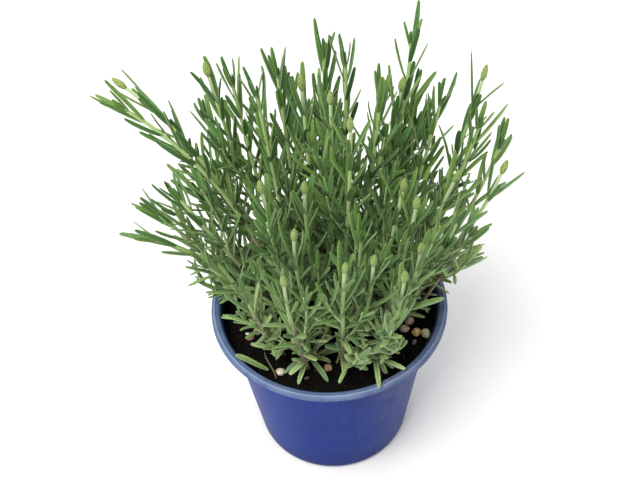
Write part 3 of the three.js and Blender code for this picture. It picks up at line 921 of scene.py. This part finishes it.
# The least distance from one straight line, a to b, to each of many, c to d.
def lineDistances(a, b, c, d):
    u, v, w = b - a, d - c, a - c
    uu, uv, vv, uw, vw = u @ u, v @ u, (v * v).sum(1), w @ u, (w * v).sum(1)
    area = uu * vv - uv * uv
    s = np.where(area > 1e-9, np.clip((uv * vw - vv * uw) / np.maximum(area, 1e-9), 0, 1), 0)
    t = np.clip((uv * s + vw) / vv, 0, 1)
    s = np.clip((uv * t - uw) / uu, 0, 1)
    return np.linalg.norm(w + s[:, None] * u - t[:, None] * v, axis=1)


def clearOfPot(point, half):
    if math.hypot(point[0], point[1]) < soil["across"] - half - leafPlan["offWall"]:
        return point[2] > soilHeight(point[0], point[1]) + half + leafPlan["offSoil"]
    return point[2] > pot["height"] + half + leafPlan["offRim"]


def crownWidth(height):
    return np.interp(height, *zip(*sidePlan["crown"]))


# What has been placed already, as thick lines, each with its owner.
class Thicket:
    def __init__(self, clearance, inCrown=False, most=24000):
        self.clearance, self.inCrown, self.count = clearance, inCrown, 0
        self.start, self.end, self.middle = (np.zeros((most, 3)) for i in range(3))
        self.half, self.span, self.owner = (np.zeros(most) for i in range(3))

    def place(self, owner, points, half):
        for start, end in zip(points, points[1:]):
            i = self.count
            self.start[i], self.end[i], self.middle[i] = start, end, (start + end) / 2
            self.half[i], self.span[i], self.owner[i] = half, np.linalg.norm(end - start) / 2, owner
            self.count += 1

    def meets(self, owner, start, end, half):
        n = self.count
        gap = half + self.half[:n] + self.clearance
        apart = np.linalg.norm(self.middle[:n] - (start + end) / 2, axis=1)
        near = (self.owner[:n] != owner) & (apart <= gap + self.span[:n] + np.linalg.norm(end - start) / 2)
        if not near.any():
            return False
        return bool((lineDistances(start, end, self.start[:n][near], self.end[:n][near]) < gap[near]).any())

    def clear(self, owner, points, half):
        for start, end in zip(points, points[1:]):
            if not all(clearOfPot(point, half) for point in (start, (start + end) / 2, end)):
                return False
            far = math.hypot(end[0], max(end[1], -sidePlan["crownDepth"] * end[1]))
            if self.inCrown and (end[1] < sidePlan["front"] or far > crownWidth(end[2])):
                return False
            if self.meets(owner, start, end, half):
                return False
        return True

    # A leaf that would meet another stem's is turned, held closer or further, or grows shorter.
    def settle(self, owner, frame, leaf, tries):
        for length, hold, turn in tries:
            tried = leaf._replace(twist=leaf.twist + turn, rootAngle=leaf.rootAngle * hold,
                                  tipAngle=leaf.tipAngle * hold, length=leaf.length * length)
            points = bladeLine(frame, tried, 3)[0][1:]
            if self.clear(owner, points, leaf.width / 2):
                self.place(owner, points, leaf.width / 2)
                return tried
        return None


# Length and angles of a leaf, this far up among a stem's pairs.
def leafForm(up):
    ups = (min(1, 1.35 * up), up, up)
    return [low + (high - low) * part for low, high, part in zip(leafPlan["lower"], leafPlan["upper"], ups)]


# The main leaves of a stem, in opposite pairs, each pair turned a quarter from the one below.
def mainLeaves(line, dice):
    def leafAt(share, twist, form, width):
        length, rootAngle, tipAngle = form
        return Leaf(twist + dice.spread(14), rootAngle + dice.spread(6), tipAngle + dice.spread(14),
                    length * (1 + dice.spread(0.16)), width * (1 + dice.spread(0.1)), share)

    room = (line.rise - stemPlan["firstLeaf"]) / stemPlan["pairSpacing"]
    line.pairs = max(stemPlan["fewestPairs"], math.floor(room + 0.5))
    line.first = (stemPlan["buried"] + stemPlan["firstLeaf"]) / line.nominal
    line.last = 1 - (stemPlan["budStalk"] if line.bud else stemPlan["leader"]) / line.nominal
    line.firstTwist = 360 * dice.roll()
    leaves = []
    for k in range(line.pairs):
        up = k / (line.pairs - 1)
        share = line.first + (line.last - line.first) * up
        leaves += [leafAt(share, line.firstTwist + 90 * k + half, leafForm(up), leafPlan["width"])
                   for half in (0, 180)]
    count, share = (2, line.last - 2 / line.nominal) if line.bud else (3, 0.985)
    for k in range(count):
        twist = line.firstTwist + 90 * line.pairs + 360 / count * k
        leaves.append(leafAt(share, twist, leafPlan["tuft"], 0.8 * leafPlan["width"]))
    return leaves[::-1]


openAir = -20  # the owner of the openings; pebbles have -1 to -8

# Strands are thick lines from which the foliage is swept, each by its section and its finish.
leafKind, stemKind, bractKind = 0, 1, 2


class Strands:
    def __init__(self):
        self.points, self.edges = [], []
        self.values = {name: [] for name in ("strandRadius", "strandFace", "strandSection", "strandFinish",
                                             "strandAlong", "strandMood")}

    # A face or a mood is one for the whole strand, or a list with one for each point.
    def add(self, points, radii, faces, section, finish, mood):
        first, count = len(self.points), len(points)
        self.points += (np.asarray(points) * mm).tolist()
        self.edges += [(first + i, first + i + 1) for i in range(count - 1)]
        self.values["strandRadius"] += (np.asarray(radii) * mm).tolist()
        self.values["strandFace"] += np.broadcast_to(faces, (count, 3)).tolist()
        self.values["strandSection"] += [section] * count
        self.values["strandFinish"] += [finish] * count
        self.values["strandAlong"] += [i / (count - 1) for i in range(count)]
        self.values["strandMood"] += np.broadcast_to(mood, (count, 3)).tolist()

    def mesh(self, name):
        mesh = bpy.data.meshes.new(name)
        mesh.from_pydata(self.points, self.edges, [])
        for label, values in self.values.items():
            addValues(mesh, label, values, "FLOAT_VECTOR" if isinstance(values[0], list) else "FLOAT")
        return mesh


# One leafy stem as it grows, with the room that it shares with the others and its own dice.
class LeafyStem:
    def __init__(self, owner, line, room):
        self.owner, self.line, self.room = owner, line, room
        self.strands = Strands()
        self.dice = Dice(sidePlan["seed"] + 101 * owner)

    def settle(self, frame, leaf, tries=quickTries):
        return self.room.settle(self.owner, frame, leaf, tries)


# How a leaf looks where it grows: its age, grey green low in the crown and bright at the top, a share of
# chance, and how dry it is, or under zero how much painted shade it gets deep in the crown.
def leafMood(spot, dice, dryChance):
    far, rise = math.hypot(spot[0], spot[1]), spot[2] - soil["level"]
    age = clamp(moods["greyAtFoot"] - rise / moods["greyFades"]) + dice.spread(moods["uneven"])
    within, (gain, start), (top, fade) = 1 - far / crownWidth(spot[2]), moods["shade"], moods["shadeTop"]
    deep = clamp(gain * within - start) * clamp((top - rise) / fade)
    inPatch = far < moods["dryPatch"][0] and rise < moods["dryPatch"][1]
    drynessAndShade = dice.between(0.4, 1) if dice.roll() < dryChance * (4 if inPatch else 1) else -deep
    return clamp(age), dice.roll(), drynessAndShade


def addLeaf(stem, frame, leaf, dryness=moods["dryNever"]):
    dice, (dryChance, dryHeight) = stem.dice, dryness
    shares, halves = columns(leafPlan["outline"])
    points, across = bladeLine(frame, leaf, 24)
    above = unit(np.cross(unit(points[-1] - points[0]), across))
    spots = np.array([points[round(share * 24)] for share in shares])
    swerve = dice.spread(leafPlan["swerve"]) * leaf.length
    roll = math.radians(dice.spread(leafPlan["roll"]))
    curl = dice.between(*leafPlan["curl"]) * leaf.length
    faces = []
    for i, share in enumerate(shares.tolist()):
        spots[i] += across * swerve * share**2 - above * curl * share**3
        faces.append(across * math.cos(roll * share) + above * math.sin(roll * share))
    mood = leafMood(points[0], dice, dryChance if frame[0][2] < dryHeight else 0)
    stem.strands.add(spots, halves * leaf.width / 2, faces, leafKind, leafKind, mood)


def addBud(stem):
    dice, (point, along, side, outward) = stem.dice, stem.line.frame(1)
    shares, radii = columns(budPlan["outline"])
    length, size, chance = budPlan["length"] * dice.between(0.95, 1.15), dice.between(0.78, 0.98), dice.roll()
    spots = [point + along * share * length for share in shares]
    stem.strands.add(spots, radii * 0.9 * size, side, stemKind, bractKind, (0.7, chance, 0))
    rises, outs, girths = columns(budPlan["bract"])
    for whorl in range(budPlan["whorls"]):
        base = budPlan["whorlRise"] * whorl
        steps = base + rises * (1 if whorl < 4 else 0.85)
        out = np.interp(np.minimum(steps, 0.99), shares, radii) * size + outs
        girth = np.interp(base + 0.12, shares, radii) * size
        for k in range(budPlan["bracts"]):
            turn = math.radians(360 / budPlan["bracts"] * k + 45 * whorl + dice.spread(8))
            away = outward * math.cos(turn) + side * math.sin(turn)
            points = [point + along * share * length + away * far for share, far in zip(steps, out)]
            mood = (whorl / budPlan["whorls"], dice.roll(), 0)
            stem.strands.add(points, girth * girths, np.cross(along, away), bractKind, bractKind, mood)


# A shoot bends in one plane out of a stem's axil. Its frames are like the stem's.
class ShootLine:
    def __init__(self, frame, leaf, steps=8):
        self.points, self.across = bladeLine(frame, leaf, steps)
        self.steps = steps

    def frame(self, share):
        place = min(self.steps - 0.001, share * self.steps)
        step = int(place)
        point = self.points[step] + (self.points[step + 1] - self.points[step]) * (place - step)
        along = unit(self.points[step + 1] - self.points[step])
        return point, along, self.across, np.cross(self.across, along)


# Each leaf keeps its own turn where one of three turns has room.
def addTuft(stem, frame, twist, size):
    dice = stem.dice
    for half in (0, 180):
        for lean in tuft["leans"]:
            leaf = Leaf(twist + half + lean + dice.spread(10), dice.between(*tuft["rootAngle"]),
                        dice.between(*tuft["tipAngle"]), size * dice.between(*tuft["length"]),
                        dice.between(*tuft["width"]))
            if dice.roll() < tuft["leafChance"] and stem.settle(frame, leaf, quickTries[:3]):
                addLeaf(stem, frame, leaf)


# A leafy side shoot, low on a stem, or a branch higher up.
def addShoot(stem, plan):
    line, dice = stem.line, stem.dice
    start = dice.between(*plan["start"]) * (line.rise if plan["startIsShare"] else 1)
    length, rootAngle, tipAngle = (dice.between(*plan[key]) for key in ("length", "rootAngle", "tipAngle"))
    frame = line.frame((stemPlan["buried"] + start) / line.nominal)
    found = stem.settle(frame, Leaf(360 * dice.roll(), rootAngle, tipAngle, length, twig["room"]), shootTries)
    if not found:
        return
    made = ShootLine(frame, found)
    shares = np.linspace(0, 1, 9)
    wood = max(0, 1.2 - (frame[0][2] - soil["level"]) / twig["woodTop"])
    spots, (thick, thinner) = [made.frame(share)[0] for share in shares], twig["radius"]
    looks = [(max(0, wood - share), dice.roll(), 0) for share in shares]
    stem.strands.add(spots, thick - thinner * shares, made.across, stemKind, stemKind, looks)
    pairs = max(2, round(found.length / plan["spacing"]))
    firstTwist = 360 * dice.roll()
    for k in range(pairs):
        up = (k + 0.7) / (pairs + 0.2)
        here = made.frame(up)
        size = dice.between(*plan["leaf"]) * (1 - 1.2 * max(0, up - 0.75))
        rootAngle, tipAngle = (angle - fall * up for angle, fall in plan["leafAngles"])
        for half in (0, 180):
            small = Leaf(firstTwist + 90 * k + half + dice.spread(12), rootAngle + dice.spread(8),
                         tipAngle + dice.spread(14), size * dice.between(*twig["leafLength"]),
                         dice.between(*twig["leafWidth"]))
            small = stem.settle(here, small)
            if small:
                addLeaf(stem, here, small, moods["dryShoots"])


# Pairs between the main ones, with small tufts in the axils of the lower ones.
def addSidePairs(stem):
    line, dice, twist = stem.line, stem.dice, stem.line.firstTwist
    steps, span = sidePlan["between"] + 1, line.last - line.first
    for k in range(line.pairs - 1):
        low = line.first + span * k / (line.pairs - 1)
        high = line.first + span * (k + 1) / (line.pairs - 1)
        for j in range(steps):
            share = low + (high - low) * j / steps
            up = (share - line.first) / span
            frame = line.frame(share)
            length, rootAngle, tipAngle = leafForm(up)
            for half in (0, 180) if j else ():
                leaf = Leaf(twist + half + dice.spread(16), rootAngle + dice.spread(9 - 5 * up),
                            tipAngle + dice.spread(16 - 8 * up),
                            length * dice.between(*sidePlan["pairLength"]),
                            leafPlan["width"] * dice.between(*sidePlan["pairWidth"]))
                leaf = stem.settle(frame, leaf)
                if leaf:
                    addLeaf(stem, frame, leaf, moods["dryPairs"])
            if up < tuft["top"] and dice.roll() < tuft["chance"]:
                addTuft(stem, frame, twist, tuft["size"][0] - tuft["size"][1] * up)
            twist += 90


# Each is turned a little about its root until it meets nothing, or else left out.
def addFootLeaves(stems):
    shares, halves = columns(leafPlan["outline"])
    placed = 0
    for number, root, tip in footLeaves:
        stem, root = stems[number - 1], np.array(root, float)
        for turn in footTurns:
            x, y, rise = np.array(tip) - root
            cos, sin = math.cos(math.radians(turn)), math.sin(math.radians(turn))
            reach = np.array((cos * x - sin * y, sin * x + cos * y, rise))
            arch = footLeafArch * np.linalg.norm(reach) * shares * (1 - shares)
            spots = root + np.outer(shares, reach) + np.outer(arch, (0, 0, 1))
            lines = zip(spots[1:], spots[2:])
            if any(stem.room.meets(stem.owner, start, end, footLeafRoom) for start, end in lines):
                continue
            stem.room.place(stem.owner, spots, footLeafHalf)
            # the mood's last value, under zero, darkens these leaves with painted shade
            across, mood = unit(np.cross(reach, (0, 0, 1))), (0.8, stem.dice.roll(), -0.35)
            stem.strands.add(spots, halves * footLeafHalf, across, leafKind, leafKind, mood)
            placed += 1
            break
    print("foot leaves placed:", placed)


# The stem itself, woody at its foot, pale under a bud, and else with small leaves at its tip.
def addStem(stem):
    line, dice = stem.line, stem.dice
    nodes = np.linspace(line.first, line.last, line.pairs)
    foot, tip, (least, more) = stemPlan["footRadius"], stemPlan["tipRadius"], stemPlan["woodTop"]
    radii, faces, spots, looks = [], [], [], []
    chance = dice.roll()
    for share in np.linspace(0, 1, 26):
        point, along, side, outward = line.frame(share)
        swell = stemPlan["knots"] * np.exp(-((np.abs(nodes - share).min() * line.nominal / 3) ** 2))
        height = (point[2] - soil["level"]) / (least + more * chance)
        stalk = max(0, (share - line.last) / (1 - line.last)) if line.bud else 0
        radii.append((foot + (tip - foot) * share) * (1 + swell))
        spots.append(point)
        faces.append(side)
        looks.append((clamp(1.25 - height), chance, min(1, stalk * 3)))
    stem.strands.add(spots, radii, faces, stemKind, stemKind, looks)
    if line.bud:
        return addBud(stem)
    point, along, side, outward = line.frame(1)
    for k in range(4):
        leaf = Leaf(90 * k + dice.spread(20), 5, 12 + dice.spread(8), dice.between(5, 9),
                    dice.between(1.5, 2.1))
        addLeaf(stem, (point - along * (1 + 1.5 * (k % 2)), along, side, outward), leaf)


# Sections of the foliage, in half widths of the strand.
sections = {"Leaf thickness": 0.26, "Leaf groove": 0.3, "Leaf roll": 0.35, "Bract cup": 0.42}
finishes = ("Leaf finish", "Stem finish", "Bract finish")


# Sweeps the strands into leaves, stems and bracts.
def foliageGrower():
    inputs = {**dict.fromkeys(sections, "Float"), **dict.fromkeys(finishes, "Material")}
    bench = GrowBench("sweepFoliage", inputs)
    inlet = bench.inlet

    def leafShape(x, y):
        grooved = y.sign() * (abs(x) - 0.5) * inlet.other("Leaf groove")
        return x, y * inlet.other("Leaf thickness") + grooved - (x * x - 0.4) * inlet.other("Leaf roll")

    def roundShape(x, y):
        square = 1 - abs(x * y) * 0.22
        return x * square, y * square

    def bractShape(x, y):
        return x, y * 0.13 + x * x * inlet.other("Bract cup")

    section, swept = bench.named("strandSection"), []
    for kind, shape in enumerate((leafShape, roundShape, bractShape)):
        # a section of eight points, worked out from a circle's
        circle = bench.add("GeometryNodeCurvePrimitiveCircle", {"Resolution": 8, "Radius": 1.0})
        x, y, z = bench.parts(bench.add("GeometryNodeInputPosition"))
        spot = bench.add("ShaderNodeCombineXYZ", dict(enumerate(shape(x, y))))
        profile = bench.add("GeometryNodeSetPosition", {"Geometry": circle, "Position": spot})
        profile = bench.stored(bench.stored(profile, "leafAcross", x), "leafUnder", y < -0.3)
        chosen = bench.add("GeometryNodeSeparateGeometry",
                           {"Geometry": inlet, "Selection": abs(section - float(kind)) < 0.5}, domain="POINT")
        curves = bench.add("GeometryNodeMeshToCurve", {0: chosen})
        faced = bench.add("GeometryNodeSetCurveNormal",
                          {"Curve": curves, "Normal": bench.named("strandFace", "FLOAT_VECTOR")}, mode="FREE")
        swept.append(bench.add("GeometryNodeCurveToMesh", {
            "Curve": faced, "Profile Curve": profile, "Scale": bench.named("strandRadius"),
            "Fill Caps": True}))
    return bench.close(swept, "strandFinish", finishes)


# Finishes of the foliage

foliageTones = {
    "fresh": ((50, 98, 37), (69, 114, 31), (100, 136, 42)),
    "old": ((128, 162, 82), (182, 202, 138), (100, 136, 116)),
    "drynessAndShade": ((66, 54, 38), (118, 100, 70)),
    "stem": ((128, 162, 82), (160, 187, 117)),
    "bark": ((78, 60, 48), (138, 114, 88)),
    "bud": ((118, 140, 66), (150, 166, 88)),
}


def newFoliageFinish(name):
    bench = FinishBench(name)
    return bench, abs(bench.attribute("leafAcross")), bench.parts(bench.attribute("strandMood", "Vector"))


def leafFinish():
    bench, across, (age, chance, drynessAndShade) = newFoliageFinish("lavenderLeaf")
    under, along = bench.attribute("leafUnder"), bench.attribute("strandAlong")
    mottle, felt = bench.grain(520, 4), bench.grain(3800, 2)
    (first, second, third), (pale, palest, teal) = foliageTones["fresh"], foliageTones["old"]
    fresh = bench.coats(first, (bench.ease(chance, 0, 0.45), second), (bench.ease(chance, 0.5, 1), third))
    old = bench.coats(pale, (chance, palest), (bench.ease(abs(chance - 0.3), 0.16, 0.1) * 0.6, teal))
    colour = bench.coats(
        fresh, (age, old),
        (bench.ease(mottle, 0.35, 0.75) * 0.35, (57, 102, 34)),
        # painted shade in a dark groove down the middle, pale rolled margins with some painted highlight, and
        # grey felt below
        (bench.ease(across, 0.5, 0.0) * (1 - under) * 0.5, (47, 90, 36)),
        (bench.ease(across, 0.72, 1.0) * 0.4, (156, 182, 126)),
        (under * 0.6, (142, 162, 124)),
        (bench.ease(felt, 0.45, 0.8) * (age * 0.2 + 0.24), (184, 196, 168)),
        (bench.ease(along, 0.9, 1.0) * 0.4, (150, 160, 96)),
        (bench.ease(drynessAndShade, 0, 1), bench.blend(mottle, *foliageTones["drynessAndShade"])),
        # painted shade on leaves deep in the crown
        (bench.ease(drynessAndShade, 0, -1) * 0.36, (14, 54, 22)))
    ridges = across * 1.5 + felt * 0.35 + mottle * 0.3
    return bench.finish(colour, mottle * 0.2 + 0.5, ridges, 0.35, 0.0003, {
        "Specular IOR Level": 0.25, "Sheen Weight": 0.1, "Sheen Roughness": 0.5,
        "Sheen Tint": (0.9, 1, 0.85, 1)})


def stemFinish():
    bench, across, (wood, chance, stalk) = newFoliageFinish("squareStem")
    fine, bark = bench.grain(2600, 3), bench.grain(1, 4, bench.moved(Scale=(900, 900, 160)))
    colour = bench.coats(
        bench.blend(chance, *foliageTones["stem"]),
        (bench.ease(wood + bark * 0.3, 0.35, 0.95),
         bench.blend(bench.ease(bark, 0.3, 0.7), *foliageTones["bark"])),
        (bench.ease(wood, 0.1, 0.45) * bench.ease(wood, 0.8, 0.45) * 0.35, (128, 96, 100)),
        (stalk * 0.75, (190, 206, 160)),
        (bench.ease(across, 0.6, 0.8) * 0.25, (196, 208, 168)),
        (bench.ease(fine, 0.5, 0.8) * 0.22, (204, 212, 186)))
    return bench.finish(colour, fine * 0.2 + 0.55, fine + bark * 1.5, 0.4, 0.0002, {
        "Specular IOR Level": 0.3, "Sheen Weight": 0.25, "Sheen Roughness": 0.5})


def bractFinish():
    bench, across, (up, chance, rest) = newFoliageFinish("budBract")
    along, fine = bench.attribute("strandAlong"), bench.grain(2400, 3)
    colour = bench.coats(
        bench.blend(chance, *foliageTones["bud"]),
        (up * 0.35, (104, 136, 62)),
        (bench.ease(across, 0.5, 0.0) * 0.6, (82, 112, 48)),
        (bench.ease(along, 0.6, 1.0) * 0.4, (178, 190, 116)),
        (bench.ease(fine, 0.5, 0.8) * 0.25, (196, 204, 156)))
    return bench.finish(colour, fine * 0.2 + 0.55, fine, 0.35, 0.0002, {
        "Specular IOR Level": 0.3, "Sheen Weight": 0.25, "Sheen Roughness": 0.5})


# Lie on the soil: points from end to end, radius, outline, section and mood.
twigOutline = [(0, 0.6), (0.2, 1), (0.5, 1), (0.8, 0.9), (1, 0.5)]
fallen = {
    # the fallen leaf's mood ends under zero, which darkens it with painted shade
    "fallenLeaf01": ([(-34, -38.5, 93), (-41, -38, 98.6), (-46.5, -37, 102.6), (-50.5, -36, 103.6)], 1.9,
                     leafPlan["outline"], leafKind, (0.7, 0.6, -0.45)),
    "fallenTwig01": ([(-36, -27, 93.6), (-34.6, -33, 93.0), (-31, -38.5, 93.4), (-29.6, -44.5, 93.2)], 0.45,
                     twigOutline, stemKind, (1, 0, 0.8)),
}


def addFallen(tree, values):
    for name, (corners, radius, outline, section, mood) in fallen.items():
        shares, halves = columns(outline)
        spots = np.transpose([np.interp(shares * 3, range(4), axis) for axis in zip(*corners)])
        across = unit(np.cross(unit(spots[-1] - spots[0]), (0, 0, 1)))
        strands = Strands()
        strands.add(spots, halves * radius, across, section, leafKind, mood)
        addPiece(name, grow(strands.mesh(name), tree, values), "foliage")


# The main leaves, from the tips down, one for each stem in turn.
def chooseMainLeaves(lines, thicket, dice):
    lists = [mainLeaves(line, dice) for line in lines]
    chosen = [[] for line in lines]
    for k in range(max(len(leaves) for leaves in lists)):
        for i, leaves in enumerate(lists):
            if k < len(leaves):
                leaf = thicket.settle(i, lines[i].frame(leaves[k].share, True), leaves[k], leafTries)
                chosen[i] += [leaf] if leaf else []
    print("main leaves placed:", sum(len(leaves) for leaves in chosen))
    return chosen


def makeLavender():
    dice = Dice(stemPlan["seed"])
    lines = [StemLine(row, dice.spread(stemPlan["mostSway"])) for row in stemRows]
    thicket, room = Thicket(leafPlan["clearance"]), Thicket(sidePlan["clearance"], inCrown=True)
    for i, (x, y, radius, *rest) in enumerate(pebbles):
        spot = np.array((x, y, float(soilHeight(x, y)) + pebbleLift * radius))
        for each in (thicket, room):
            each.place(-1 - i, [spot, spot + (0, 0, 0.1)], radius * pebbleRoom)
    for i, line in enumerate(lines):
        thicket.place(i, line.joints, stemPlan["room"])
        room.place(i, [line.frame(share)[0] for share in np.linspace(0, 1, 11)], stemPlan["fineRoom"])
        if line.bud:
            point, along = line.frame(1)[:2]
            for each in (thicket, room):
                each.place(i, [point, point + along * budPlan["length"]], budPlan["room"])
    chosen = chooseMainLeaves(lines, thicket, dice)
    stems = [LeafyStem(i, line, room) for i, line in enumerate(lines)]
    for stem, leaves in zip(stems, chosen):
        for leaf in leaves:
            frame = stem.line.frame(leaf.share)
            room.place(stem.owner, bladeLine(frame, leaf, 3)[0][1:], leaf.width / 2)
            addLeaf(stem, frame, leaf, moods["dryMain"])
        addStem(stem)
    addFootLeaves(stems)
    for start, end, radius in sidePlan["openings"]:
        room.place(openAir, [np.array(start, float), np.array(end, float)], radius)
    for stem in stems:
        addSidePairs(stem)
    for turn in range(shoot["perStem"]):
        for stem in stems:
            for plan in (branch, shoot):
                if turn < plan["perStem"] and stem.line.rise > plan["tallerThan"]:
                    addShoot(stem, plan)
    print("strands laid:", sum(len(stem.strands.points) - len(stem.strands.edges) for stem in stems))
    tree = foliageGrower()
    values = {**sections, **dict(zip(finishes, (leafFinish(), stemFinish(), bractFinish())))}
    addFallen(tree, values)
    faces = 0
    for number, stem in enumerate(stems, 1):
        mesh = grow(stem.strands.mesh(f"stem{number:02d}"), tree, values)
        addPiece(f"lavenderStem{number:02d}", mesh, "foliage", f"leafy_stem_{number:02d}")
        faces += len(mesh.polygons)
    print("lavender grown:", faces, "faces")


addCamera()
addLights()
addFloor()
makePot()
makeSoil()
makePebbles()
makeLavender()
